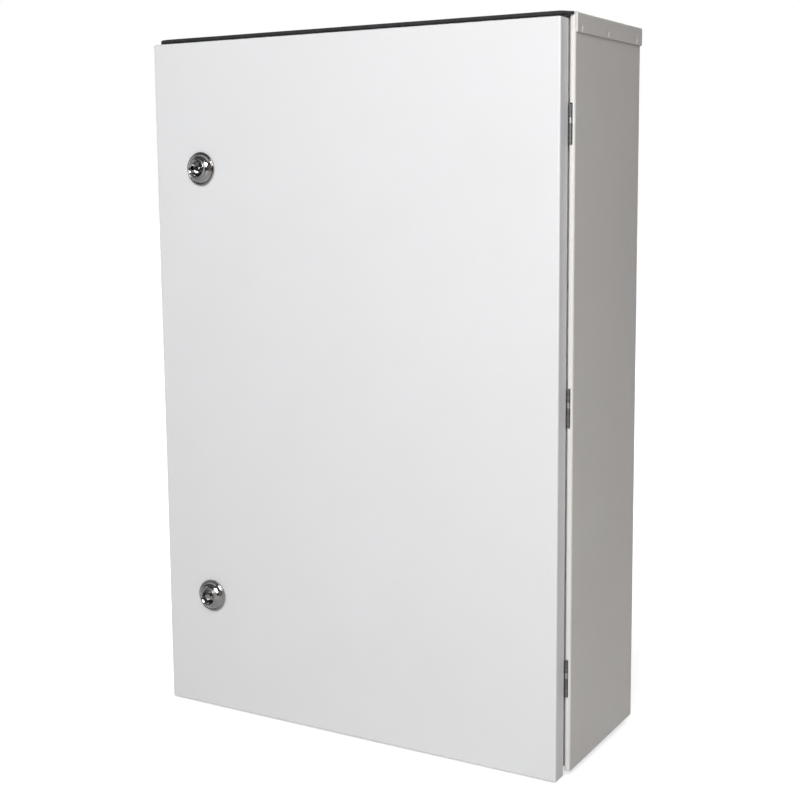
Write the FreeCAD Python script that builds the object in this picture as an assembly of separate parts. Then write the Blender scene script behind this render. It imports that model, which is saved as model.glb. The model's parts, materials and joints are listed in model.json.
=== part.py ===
"""Wall-mounted industrial switchboard cabinet, about 607 x 403 x 168 mm over everything.

Frame: millimetres. +X is the right-hand side seen from the front, +Y points at the wall, +Z is up.
The origin is the centre of the four wall-fixing holes, on the wall plane (Y = 0). The door faces -Y
and is hinged on its right-hand edge (+X).

The body is a wrap of folded sheet (two sides and the back) closed by a roof cap, a head rail and a
floor pan. Round the door opening a narrow rim folds back into a rain gutter, whose inner edge comes
forward again as a lip that meets the door's foam gasket.
"""

import FreeCAD
import Part
import math
import os

V = FreeCAD.Vector
X_AXIS, Y_AXIS, Z_AXIS = V(1, 0, 0), V(0, 1, 0), V(0, 0, 1)

# ---------------------------------------------------------------- driving dimensions
BODY_WIDTH = 400.0
BODY_HEIGHT = 600.0
BODY_DEPTH = 140.0
SHEET = 1.2  # body and door sheet
BEND = 0.8  # inner radius of every fold
WALL_GAP = 2.5  # height of the embossed pads that stand on the wall
WALL_PAD_RADIUS = 17.0  # foot of each pad

DOOR_WIDTH = 390.0
DOOR_HEIGHT = 600.0
DOOR_DROP = 4.5  # the door hangs this much lower than the body
DOOR_FLANGE = 14.9  # depth of the folded door, outer face to rear edge
DOOR_GAP = 1.5  # rear edge of the door to the front plane of the body
DOOR_CORNER = 1.6

RIM_WIDTH = 5.0  # front rim of the body, outside the gutter
GUTTER_DEPTH = 8.0  # front plane to the gutter's floor
LIP_INSET = 14.0  # door edge to the clear opening
LIP_REACH = 8.8  # how far the lip stands forward of the body's front plane

SKIRT_DROP = 15.0  # roof cap's skirt
SKIRT_GAP = 0.1
SKIRT_SETBACK = 1.1  # room for the open door beside the skirt
SKIRT_WELD_DEPTH = 0.75
WALL_WELD_DEPTH = 0.3  # shallower than the skirt's

HINGE_PITCH = 219.5
HINGE_MID_Z = -3.0
HINGE_IN_X = 3.6  # hinge axis, inward of the body's right side
HINGE_IN_Y = 0.4  # hinge axis, behind the body's front plane
HINGE_SLOT = 31.5
HINGE_SLOT_EDGE = 1.8  # width of rim left outside the slot
HINGE_SLOT_INNER = 7.0  # inner edge of the slot, inward of the body's right side
HINGE_SLOT_BEHIND = 1.1  # slot depth behind the knuckle
PIN_RADIUS = 0.9
RUNNING_CLEARANCE = 0.05
KNUCKLE_RADIUS = 1.5
COLLAR_LOW, COLLAR_HIGH = 0.3, 4.7  # the pin's collar, above the middle of the slot

LOCK_FROM_EDGE = 50.0  # lock axis to the door's free edge
LOCK_LOW = 105.5  # lower lock axis above the door's bottom edge
LOCK_PITCH = 385.5
CAM_REACH = 45.0
BARREL_RADIUS = 11.0
BARREL_FLAT = 10.0  # barrel axis to each of its two flats

WALL_HOLE_X = 165.0
WALL_HOLE_Z = 265.0
WALL_HOLE_RADIUS = 4.5

PLATE_WIDTH = 344.0
PLATE_HEIGHT = 504.0
PLATE_SHEET = 2.0
PLATE_STANDOFF = 17.5  # rear face of the plate above the wall plane, less the pads
PLATE_STUD_X = 150.0
PLATE_STUD_Z = 225.0

GLAND_WINDOW = (230.0, 80.0)
GLAND_PLATE = (262.0, 112.0)
GLAND_SHEET = 3.0
GLAND_GASKET = 3.0
GLAND_HOLE = 2.75  # radius of the screw holes
GLAND_CORNER = 6.0
GLAND_SCREW_INSET = 8.0  # screw axes to the plate's edges

BODY_EARTH = (-60.0, -272.0, 26.0)  # x, z and length of the welded stud
DOOR_EARTH = (150.0, -250.0, 20.0)

# ---------------------------------------------------------------- derived planes
HALF = BODY_WIDTH / 2
BODY_TOP = BODY_HEIGHT / 2
BODY_BOTTOM = -BODY_TOP
Y_BACK = -WALL_GAP
Y_FRONT = Y_BACK - BODY_DEPTH
Y_BACK_INNER = Y_BACK - SHEET
Y_GUTTER = Y_FRONT + GUTTER_DEPTH
Y_GUTTER_INNER = Y_GUTTER + SHEET
Y_LIP = Y_FRONT - LIP_REACH
Y_DOOR_REAR = Y_FRONT - DOOR_GAP
Y_DOOR = Y_DOOR_REAR - DOOR_FLANGE
Y_DOOR_INNER = Y_DOOR + SHEET

DOOR_HALF = DOOR_WIDTH / 2
DOOR_BOTTOM = BODY_BOTTOM - DOOR_DROP
DOOR_TOP = DOOR_BOTTOM + DOOR_HEIGHT
OPENING_HALF = DOOR_HALF - LIP_INSET
OPENING_BOTTOM = DOOR_BOTTOM + LIP_INSET
OPENING_TOP = DOOR_TOP - LIP_INSET
LIP_OUTER_HALF = OPENING_HALF + SHEET

HINGE_X = HALF - HINGE_IN_X
HINGE_Y = Y_FRONT + HINGE_IN_Y
HINGE_HEIGHTS = {
    "upper": HINGE_MID_Z + HINGE_PITCH,
    "middle": HINGE_MID_Z,
    "lower": HINGE_MID_Z - HINGE_PITCH,
}
LOCK_X = -DOOR_HALF + LOCK_FROM_EDGE
LOCK_HEIGHTS = {
    "upper": DOOR_BOTTOM + LOCK_LOW + LOCK_PITCH,
    "lower": DOOR_BOTTOM + LOCK_LOW,
}
GLAND_Y = Y_BACK - BODY_DEPTH / 2


# ---------------------------------------------------------------- helpers
def box(x0, x1, y0, y1, z0, z1):
    """A box between two corners."""
    return Part.makeBox(x1 - x0, y1 - y0, z1 - z0, V(x0, y0, z0))


def rod(radius, start, end):
    """A cylinder from one point to another."""
    return Part.makeCylinder(radius, (end - start).Length, start, end - start)


def tube(outer, inner, start, end):
    return rod(outer, start, end).cut(rod(inner, start, end))


def hex_nut(across_flats, bore, start, end):
    """A hexagonal prism along Y or Z with a round bore."""
    axis = (end - start).normalize()
    side = Z_AXIS.cross(axis) if abs(axis.z) < 0.5 else X_AXIS
    corner = side * (across_flats / math.sqrt(3))
    points = [
        start + FreeCAD.Rotation(axis, 60 * k).multVec(corner) for k in range(7)
    ]
    prism = Part.Face(Part.makePolygon(points)).extrude(end - start)
    return prism.cut(rod(bore, start, end)) if bore else prism


def rounded_box(x0, x1, y0, y1, z0, z1, radius, axis):
    """A box whose four edges along one axis are rounded."""
    solid = box(x0, x1, y0, y1, z0, z1)
    edges = [e for e in solid.Edges if abs(e.tangentAt(e.FirstParameter).dot(axis)) > 0.9]
    return solid.makeFillet(radius, edges)


def revolved(profile, centre, axis=Y_AXIS):
    """A turned solid: profile is a closed list of (radius, distance along the axis from centre)."""
    side = X_AXIS
    points = [centre + side * r + axis * d for r, d in profile]
    face = Part.Face(Part.makePolygon(points + points[:1]))
    return face.revolve(centre, axis, 360)


def folded_sheet(path, thickness, place, sweep):
    """Bent sheet of constant thickness. path holds the corners of its middle line in a plane,
    place turns a plane point into space, and sweep is the extrusion."""
    middle = BEND + thickness / 2
    points = [V(u, v, 0) for u, v in path]
    corners = []
    for before, at, after in zip(points, points[1:], points[2:]):
        come = (at - before).normalize()
        go = (after - at).normalize()
        turn = math.atan2(come.cross(go).z, come.dot(go))
        run = middle * math.tan(abs(turn) / 2)
        left = math.copysign(1.0, turn)
        start = at - come * run
        centre = start + V(-come.y, come.x, 0) * left * middle
        corners.append((start, at + go * run, centre, left))

    def side_edges(side):
        """Edges of one face of the sheet, from the first point to the last."""
        offset = side * thickness / 2
        edges = []
        here = points[0]
        for i, (start, end, centre, left) in enumerate(corners):
            direction = (points[i + 1] - points[i]).normalize()
            normal = V(-direction.y, direction.x, 0) * offset
            edges.append([here + normal, start + normal])
            radius = middle - side * left * thickness / 2
            to_middle = ((start + end) * 0.5 - centre).normalize() * radius
            rim = [(p - centre).normalize() * radius + centre for p in (start, end)]
            edges.append([rim[0], centre + to_middle, rim[1]])
            here = end
        direction = (points[-1] - points[-2]).normalize()
        normal = V(-direction.y, direction.x, 0) * offset
        edges.append([here + normal, points[-1] + normal])
        return edges

    left_side = side_edges(1)
    right_side = [list(reversed(e)) for e in reversed(side_edges(-1))]
    outline = left_side + [[left_side[-1][-1], right_side[0][0]]]
    outline += right_side + [[right_side[-1][-1], left_side[0][0]]]
    shapes = []
    for edge in outline:
        spots = [place(p.x, p.y) for p in edge]
        curve = Part.LineSegment(*spots) if len(spots) == 2 else Part.Arc(*spots)
        shapes.append(curve.toShape())
    return Part.Face(Part.Wire(shapes)).extrude(sweep)


def cut_all(shape, tools):
    for tool in tools:
        shape = shape.cut(tool)
    return shape


def both_sides(values):
    """Every (x, z) of a rectangle of points centred on the origin."""
    x, z = values
    return [(sx * x, sz * z) for sx in (-1, 1) for sz in (-1, 1)]


# ---------------------------------------------------------------- body shell
def wall_pad(x, z):
    """An embossed pad round one wall-fixing hole, in place of a disc of the back wall."""
    foot, head = WALL_PAD_RADIUS, 13.0
    slope_step = 0.8
    return revolved(
        [
            (WALL_HOLE_RADIUS, 0),
            (head, 0),
            (foot, -WALL_GAP),
            (foot, -WALL_GAP - SHEET),
            (foot - slope_step, -WALL_GAP - SHEET),
            (head - slope_step, -SHEET),
            (WALL_HOLE_RADIUS, -SHEET),
        ],
        V(x, 0, z),
    )


def spot_weld(x, y, z, outward, depth):
    """The shallow round dimple that a spot weld leaves on the outer face."""
    radius = 3.2
    ball = (radius**2 + depth**2) / (2 * depth)
    return Part.makeSphere(ball, V(x, y, z) + outward * (ball - depth))


def gutter_path(lip, rim, wall):
    """Section of the opening's edge from the lip to the wall, as (across, y) in the sheet's middle.

    lip, rim and wall are places across the opening, measured outward.
    """
    half = SHEET / 2
    inner = rim - RIM_WIDTH + SHEET
    return [
        (lip, Y_LIP),
        (lip, Y_GUTTER + half),
        (inner, Y_GUTTER + half),
        (inner, Y_FRONT + half),
        (wall, Y_FRONT + half),
    ]


def body_wrap():
    """Left side, back and right side from one sheet, with the rims, gutters and lips of the opening."""
    side_x = HALF - SHEET / 2
    half_path = gutter_path(OPENING_HALF + SHEET / 2, side_x, side_x)
    half_path.append((side_x, Y_BACK - SHEET / 2))
    path = [(-x, y) for x, y in half_path] + list(reversed(half_path))
    top = BODY_TOP - SHEET
    wrap = folded_sheet(
        path, SHEET, lambda u, v: V(u, v, BODY_BOTTOM), V(0, 0, top - BODY_BOTTOM)
    )
    past_bend = 0.1
    lip_half = LIP_OUTER_HALF + BEND + past_bend
    lip_ends = []
    for z0, z1 in ((OPENING_TOP, BODY_TOP + 1), (BODY_BOTTOM - 1, OPENING_BOTTOM)):
        floor_end = box(-LIP_OUTER_HALF, LIP_OUTER_HALF, Y_GUTTER, Y_GUTTER_INNER + 2, z0, z1)
        lip_ends += [floor_end, box(-lip_half, lip_half, Y_LIP - 1, Y_GUTTER, z0, z1)]
    slots = [
        box(
            HALF - HINGE_SLOT_INNER,
            HALF - HINGE_SLOT_EDGE,
            Y_FRONT - 1,
            HINGE_Y + KNUCKLE_RADIUS + HINGE_SLOT_BEHIND,
            z - HINGE_SLOT / 2,
            z + HINGE_SLOT / 2,
        )
        for z in HINGE_HEIGHTS.values()
    ]
    weld_y = Y_FRONT + 24
    welds = [spot_weld(HALF, weld_y, z, X_AXIS, WALL_WELD_DEPTH) for z in HINGE_HEIGHTS.values()]
    wrap = cut_all(wrap, lip_ends + slots + welds)
    for x, z in both_sides((WALL_HOLE_X, WALL_HOLE_Z)):
        wrap = wrap.cut(rod(WALL_PAD_RADIUS, V(x, Y_BACK_INNER - 1, z), V(x, 1, z)))
        wrap = wrap.fuse(wall_pad(x, z))
    return wrap.removeSplitter()


def roof_cap():
    """Folded roof with a skirt on three sides, and a front tongue that carries the rain seal."""
    outer_x = HALF + SKIRT_GAP + SHEET
    outer_y = Y_BACK + SKIRT_GAP + SHEET
    skirt_front = Y_FRONT + SKIRT_SETBACK
    bottom = BODY_TOP - SKIRT_DROP
    edge_radius = 1.8
    block = box(-outer_x, outer_x, skirt_front, outer_y, bottom, BODY_TOP)
    rounded = [
        e
        for e in block.Edges
        if e.CenterOfMass.y > skirt_front + 1 and e.CenterOfMass.z > bottom + 1
    ]
    block = block.makeFillet(edge_radius, rounded)
    inside = rounded_box(
        -outer_x + SHEET,
        outer_x - SHEET,
        skirt_front - 20,
        outer_y - SHEET,
        bottom - 20,
        BODY_TOP - SHEET,
        edge_radius - SHEET,
        Z_AXIS,
    )
    cap = block.cut(inside)
    front_ends = [
        e
        for e in cap.Edges
        if abs(e.CenterOfMass.y - skirt_front) < 0.1
        and abs(abs(e.CenterOfMass.x) - outer_x) < 0.1
    ]
    cap = cap.makeFillet(SHEET / 2, front_ends)
    tongue_half, tongue_reach = 188.0, 4.0
    front_strip = box(-HALF, HALF, Y_FRONT, skirt_front + 1, BODY_TOP - SHEET, BODY_TOP)
    tongue = box(
        -tongue_half,
        tongue_half,
        Y_FRONT - tongue_reach,
        Y_FRONT + 1,
        BODY_TOP - SHEET,
        BODY_TOP,
    )
    cap = cap.fuse(front_strip).fuse(tongue).removeSplitter()
    weld_z = BODY_TOP - SKIRT_DROP + 3.6
    weld_ys = [Y_FRONT + 9, Y_FRONT + 63, Y_BACK - 14]
    depth = SKIRT_WELD_DEPTH
    sides = [(s, y) for s in (-1, 1) for y in weld_ys]
    welds = [spot_weld(s * outer_x, y, weld_z, X_AXIS * s, depth) for s, y in sides]
    weld_xs = [-150, -50, 50, 150]
    welds += [spot_weld(x, outer_y, weld_z, Y_AXIS, depth) for x in weld_xs]
    return cut_all(cap, welds + clipped_corners(outer_x, outer_y, bottom))


def clipped_corners(outer_x, outer_y, bottom):
    """Wedges that clip the skirt's two lower rear corners."""
    clip = 3.0
    tools = []
    for s in (-1, 1):
        out = V(s, 1, 0).normalize()
        along = V(-s, 1, 0).normalize()
        corner = V(s * outer_x, outer_y, bottom) - along * clip * 2
        points = [
            corner - out * clip - Z_AXIS,
            corner + out * clip - Z_AXIS,
            corner + out * clip + Z_AXIS * 2 * clip,
        ]
        tools.append(Part.Face(Part.makePolygon(points + points[:1])).extrude(along * clip * 4))
    return tools


def roof_seal():
    """Rubber rain lip pushed onto the roof's front tongue, with bevelled ends, above the door."""
    reach, bottom, top = 8.0, BODY_TOP - 3.4, BODY_TOP + 1.0
    rear_half, front_half = 199.0, 192.0
    rear = Y_FRONT - 0.1
    points = [
        V(-rear_half, rear, bottom),
        V(rear_half, rear, bottom),
        V(front_half, rear - reach, bottom),
        V(-front_half, rear - reach, bottom),
    ]
    seal = Part.Face(Part.makePolygon(points + points[:1])).extrude(V(0, 0, top - bottom))
    nose = [
        e for e in seal.Edges if abs(e.CenterOfMass.y - (rear - reach)) < 0.1 and e.Length > 100
    ]
    nose_radius = 1.3
    seal = seal.makeFillet(nose_radius, nose)
    groove_half, groove_depth, ease = 188.3, 4.2, 0.05
    groove = box(
        -groove_half,
        groove_half,
        rear - groove_depth,
        rear + 1,
        BODY_TOP - SHEET - ease,
        BODY_TOP + ease,
    )
    return seal.cut(groove)


def head_rail():
    """Folded header above the opening: flange under the roof, rim, gutter and forward lip."""
    flange_z = BODY_TOP - 1.5 * SHEET
    flange_depth = 24.0
    section = gutter_path(OPENING_TOP + SHEET / 2, flange_z, flange_z)
    path = [(y, z) for z, y in section] + [(Y_FRONT + flange_depth, flange_z)]
    return folded_sheet(
        path, SHEET, lambda u, v: V(-LIP_OUTER_HALF, u, v), X_AXIS * (2 * LIP_OUTER_HALF)
    )


def gland_screw_places():
    """Centres of the eight gland-plate screws, as (x, y)."""
    x, y = (side / 2 - GLAND_SCREW_INSET for side in GLAND_PLATE)
    grid = [(i * x, GLAND_Y + j * y) for i in (-1, 0, 1) for j in (-1, 0, 1)]
    return [p for p in grid if p != (0, GLAND_Y)]


def gland_sheet(size, z0, z1):
    """A level sheet with rounded corners, centred on the cable entry."""
    half_x, half_y = size[0] / 2, size[1] / 2
    return rounded_box(
        -half_x, half_x, GLAND_Y - half_y, GLAND_Y + half_y, z0, z1, GLAND_CORNER, Z_AXIS
    )


def gland_holes(z0, z1):
    return [rod(GLAND_HOLE, V(x, y, z0), V(x, y, z1)) for x, y in gland_screw_places()]


def floor_pan():
    """Folded floor with upturned flanges, the front gutter and lip, and the cable-entry window."""
    side = HALF - SHEET - 0.1
    flange = 12.8
    floor_z = BODY_BOTTOM + SHEET / 2
    back_y = Y_BACK_INNER - 0.1 - SHEET / 2
    section = gutter_path(-OPENING_BOTTOM + SHEET / 2, -floor_z, -floor_z)
    path = [(y, -z) for z, y in section]
    path += [(back_y, floor_z), (back_y, BODY_BOTTOM + flange)]
    pan = folded_sheet(path, SHEET, lambda u, v: V(-side, u, v), X_AXIS * (2 * side))
    z_low, z_high = BODY_BOTTOM - 1, OPENING_BOTTOM + 1
    behind_rim = Y_GUTTER_INNER + 0.1
    for s in (-1, 1):
        x0, x1 = sorted((s * LIP_OUTER_HALF, s * (side + 1)))
        pan = pan.cut(box(x0, x1, Y_LIP - 1, behind_rim, z_low, z_high))
        x0, x1 = sorted((s * (side - SHEET), s * side))
        wall = box(x0, x1, behind_rim + 2, Y_BACK - 6, BODY_BOTTOM, BODY_BOTTOM + flange)
        pan = pan.fuse(wall)
    window = gland_sheet(GLAND_WINDOW, z_low, BODY_BOTTOM + 5)
    pan = cut_all(pan, [window] + gland_holes(z_low, BODY_BOTTOM + 5))
    return pan.removeSplitter()


# ---------------------------------------------------------------- cable-entry plate
def gland_parts():
    """Gasket, plate, countersunk screws and weld nuts that close the window in the floor.

    The screws sit just below flush, so the plate's lower face is the one that the cabinet stands on.
    """
    z_gasket = BODY_BOTTOM - GLAND_GASKET
    z_plate = z_gasket - GLAND_SHEET
    gasket = gland_sheet(GLAND_PLATE, z_gasket, BODY_BOTTOM)
    gasket = gasket.cut(gland_sheet(GLAND_WINDOW, z_gasket - 1, BODY_BOTTOM + 1))
    gasket = cut_all(gasket, gland_holes(z_gasket - 1, BODY_BOTTOM + 1))
    plate = gland_sheet(GLAND_PLATE, z_plate, z_gasket)
    sunk, head, shank, seat_gap = 0.1, 4.6, 2.45, 0.05
    nut_base = BODY_BOTTOM + SHEET
    nut_height, thread = 4.0, 2.5
    tip = nut_base + nut_height + 2 - z_plate
    mouth = head + seat_gap
    screws, nuts = [], []
    for x, y in gland_screw_places():
        foot = V(x, y, z_plate)
        sink = [(0, -1), (mouth, -1), (mouth, sunk), (GLAND_HOLE, sunk + mouth - GLAND_HOLE)]
        sink += [(GLAND_HOLE, GLAND_SHEET + 1), (0, GLAND_SHEET + 1)]
        plate = plate.cut(revolved(sink, foot, Z_AXIS))
        body = [(0, sunk), (head, sunk), (shank, sunk + head - shank), (shank, tip), (0, tip)]
        arm, width, deep = 2.3, 0.5, 1.5
        z1 = z_plate + sunk + deep
        cross = box(x - arm, x + arm, y - width, y + width, z_plate, z1)
        cross = cross.fuse(box(x - width, x + width, y - arm, y + arm, z_plate, z1))
        screws.append(revolved(body, foot, Z_AXIS).cut(cross))
        nuts.append(hex_nut(8.0, thread, V(x, y, nut_base), V(x, y, nut_base + nut_height)))
    return {
        "gland_gasket": gasket,
        "gland_plate": plate,
        "gland_plate_screws": Part.makeCompound(screws),
        "gland_weld_nuts": Part.makeCompound(nuts),
    }


# ---------------------------------------------------------------- mounting plate
def mounting_plate_parts():
    """Galvanised plate with folded long edges on four welded studs with spacers."""
    y_rear = Y_BACK - PLATE_STANDOFF
    y_face = y_rear - PLATE_SHEET
    middle_x = PLATE_WIDTH / 2 - PLATE_SHEET / 2
    middle_y = y_rear - PLATE_SHEET / 2
    fold = 8.0
    path = [
        (-middle_x, y_rear + fold),
        (-middle_x, middle_y),
        (middle_x, middle_y),
        (middle_x, y_rear + fold),
    ]
    plate = folded_sheet(
        path, PLATE_SHEET, lambda u, v: V(u, v, -PLATE_HEIGHT / 2), Z_AXIS * PLATE_HEIGHT
    )
    stud_radius, stud_length, stud_hole = 4.0, 30.0, 4.5
    washer_sheet, nut_height = 1.6, 6.5
    stud_end = Y_BACK_INNER - stud_length
    washer_y = y_face - washer_sheet
    nut_y = washer_y - nut_height
    studs, spacers, washers, nuts = [], [], [], []
    for x, z in both_sides((PLATE_STUD_X, PLATE_STUD_Z)):
        at = {y: V(x, y, z) for y in (Y_BACK_INNER, y_rear, y_face, washer_y, nut_y, stud_end)}
        plate = plate.cut(rod(stud_hole, V(x, y_face - 1, z), V(x, y_rear + 1, z)))
        studs.append(rod(stud_radius, at[Y_BACK_INNER], at[stud_end]))
        spacers.append(tube(7.0, stud_radius + 0.1, at[Y_BACK_INNER], at[y_rear]))
        washers.append(tube(8.0, stud_radius + 0.2, at[y_face], at[washer_y]))
        nuts.append(hex_nut(13.0, stud_radius + 0.05, at[washer_y], at[nut_y]))
    return {
        "mounting_plate": plate,
        "plate_studs": Part.makeCompound(studs),
        "plate_spacers": Part.makeCompound(spacers),
        "plate_washers": Part.makeCompound(washers),
        "plate_nuts": Part.makeCompound(nuts),
    }


# ---------------------------------------------------------------- earth studs
def earth_stud(x, z, y_base, inward, length):
    """An M6 welded stud with washer, nut, washer and nut. inward is +1 or -1 along Y."""
    radius = 3.0

    def at(distance):
        return V(x, y_base + inward * distance, z)

    stud = rod(radius, at(0), at(length))
    washers = [tube(6.0, radius + 0.2, at(d), at(d + 1.2)) for d in (0.0, 5.2)]
    nuts = [hex_nut(10.0, radius + 0.05, at(d), at(d + 4.0)) for d in (1.2, 6.4)]
    return stud, Part.makeCompound(washers + nuts)


# ---------------------------------------------------------------- hinges
def hinge_parts(name, z):
    """One hinge: leaf welded inside the body's side wall, pin with a collar, cranked leaf on the door."""
    axis = V(HINGE_X, HINGE_Y, z)
    bore = PIN_RADIUS + RUNNING_CLEARANCE
    end_gap_low, end_gap_high = 0.7, 1.5
    low, high = -HINGE_SLOT / 2 + end_gap_low, HINGE_SLOT / 2 - end_gap_high

    def knuckle(z0, z1):
        return rod(KNUCKLE_RADIUS, axis + Z_AXIS * z0, axis + Z_AXIS * z1)

    hole = rod(bore, axis - Z_AXIS * HINGE_SLOT, axis + Z_AXIS * HINGE_SLOT)
    wall, leaf_sheet, leaf_depth = HALF - SHEET, 1.5, 34.0
    behind_rim, clear_of_bend = Y_FRONT + SHEET, Y_FRONT + SHEET + BEND
    z0, z1 = z + low, z + COLLAR_LOW
    leaf = box(wall - leaf_sheet, wall, clear_of_bend, Y_FRONT + leaf_depth, z0, z1)
    arm = box(HINGE_X, wall - BEND, behind_rim, clear_of_bend + 0.6, z0, z1)
    body_leaf = leaf.fuse(arm).fuse(knuckle(low, COLLAR_LOW)).cut(hole).removeSplitter()

    pin = rod(PIN_RADIUS, axis + Z_AXIS * low, axis + Z_AXIS * (high - 1))
    pin = pin.fuse(knuckle(COLLAR_LOW, COLLAR_HIGH)).removeSplitter()

    flange = DOOR_HALF - SHEET
    base = COLLAR_HIGH + 0.2
    ahead, behind = 0.9, 0.3
    crank_front, crank_rear = HINGE_Y - ahead, HINGE_Y + behind
    tail_front = Y_DOOR_INNER + DOOR_CORNER - SHEET + 0.2
    tail = box(flange - leaf_sheet, flange, tail_front, crank_rear, z + base, z + high)
    crank = box(flange - leaf_sheet, HINGE_X, crank_front, crank_rear, z + base, z + high)
    door_leaf = tail.fuse(crank).fuse(knuckle(base, high)).cut(hole).removeSplitter()
    return {
        f"hinge_{name}_body_leaf": body_leaf,
        f"hinge_{name}_pin": pin,
        f"hinge_{name}_door_leaf": door_leaf,
    }


# ---------------------------------------------------------------- door
def door_panel():
    """Folded door with rounded front edges and two lock holes."""
    outer = box(-DOOR_HALF, DOOR_HALF, Y_DOOR, Y_DOOR_REAR, DOOR_BOTTOM, DOOR_TOP)
    soft = [
        e
        for e in outer.Edges
        if abs(e.CenterOfMass.y - Y_DOOR) < 0.1
        or abs(e.tangentAt(e.FirstParameter).dot(Y_AXIS)) > 0.9
    ]
    outer = outer.makeFillet(DOOR_CORNER, soft)
    hollow = box(
        -DOOR_HALF + SHEET,
        DOOR_HALF - SHEET,
        Y_DOOR_INNER,
        Y_DOOR_REAR + 10,
        DOOR_BOTTOM + SHEET,
        DOOR_TOP - SHEET,
    )
    soft = [
        e
        for e in hollow.Edges
        if abs(e.CenterOfMass.y - Y_DOOR_INNER) < 0.1
        or abs(e.tangentAt(e.FirstParameter).dot(Y_AXIS)) > 0.9
    ]
    panel = outer.cut(hollow.makeFillet(DOOR_CORNER - SHEET, soft))
    for z in LOCK_HEIGHTS.values():
        panel = panel.cut(lock_barrel(z, Y_DOOR - 1, Y_DOOR_INNER + 1, 0.25))
    return panel


def door_gasket():
    """Foam bead on the inside of the door, opposite the body's lip."""
    middle = LIP_INSET - SHEET / 2
    width, thickness = 10.0, 6.0

    def ring(inset, radius, y0, y1):
        return rounded_box(
            -DOOR_HALF + inset,
            DOOR_HALF - inset,
            y0,
            y1,
            DOOR_BOTTOM + inset,
            DOOR_TOP - inset,
            radius,
            Y_AXIS,
        )

    y0, y1 = Y_DOOR_INNER, Y_DOOR_INNER + thickness
    outer = ring(middle - width / 2, 12.0, y0, y1)
    return outer.cut(ring(middle + width / 2, 3.0, y0 - 1, y1 + 1))


# ---------------------------------------------------------------- locks
def lock_barrel(z, y0, y1, ease=0.0):
    """The lock's threaded barrel with its two flats, or with ease the hole for it."""
    barrel = rod(BARREL_RADIUS + ease, V(LOCK_X, y0, z), V(LOCK_X, y1, z))
    flat = BARREL_FLAT + ease
    reach = BARREL_RADIUS + 2
    return barrel.common(box(LOCK_X - reach, LOCK_X + reach, y0, y1, z - flat, z + flat))


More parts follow.
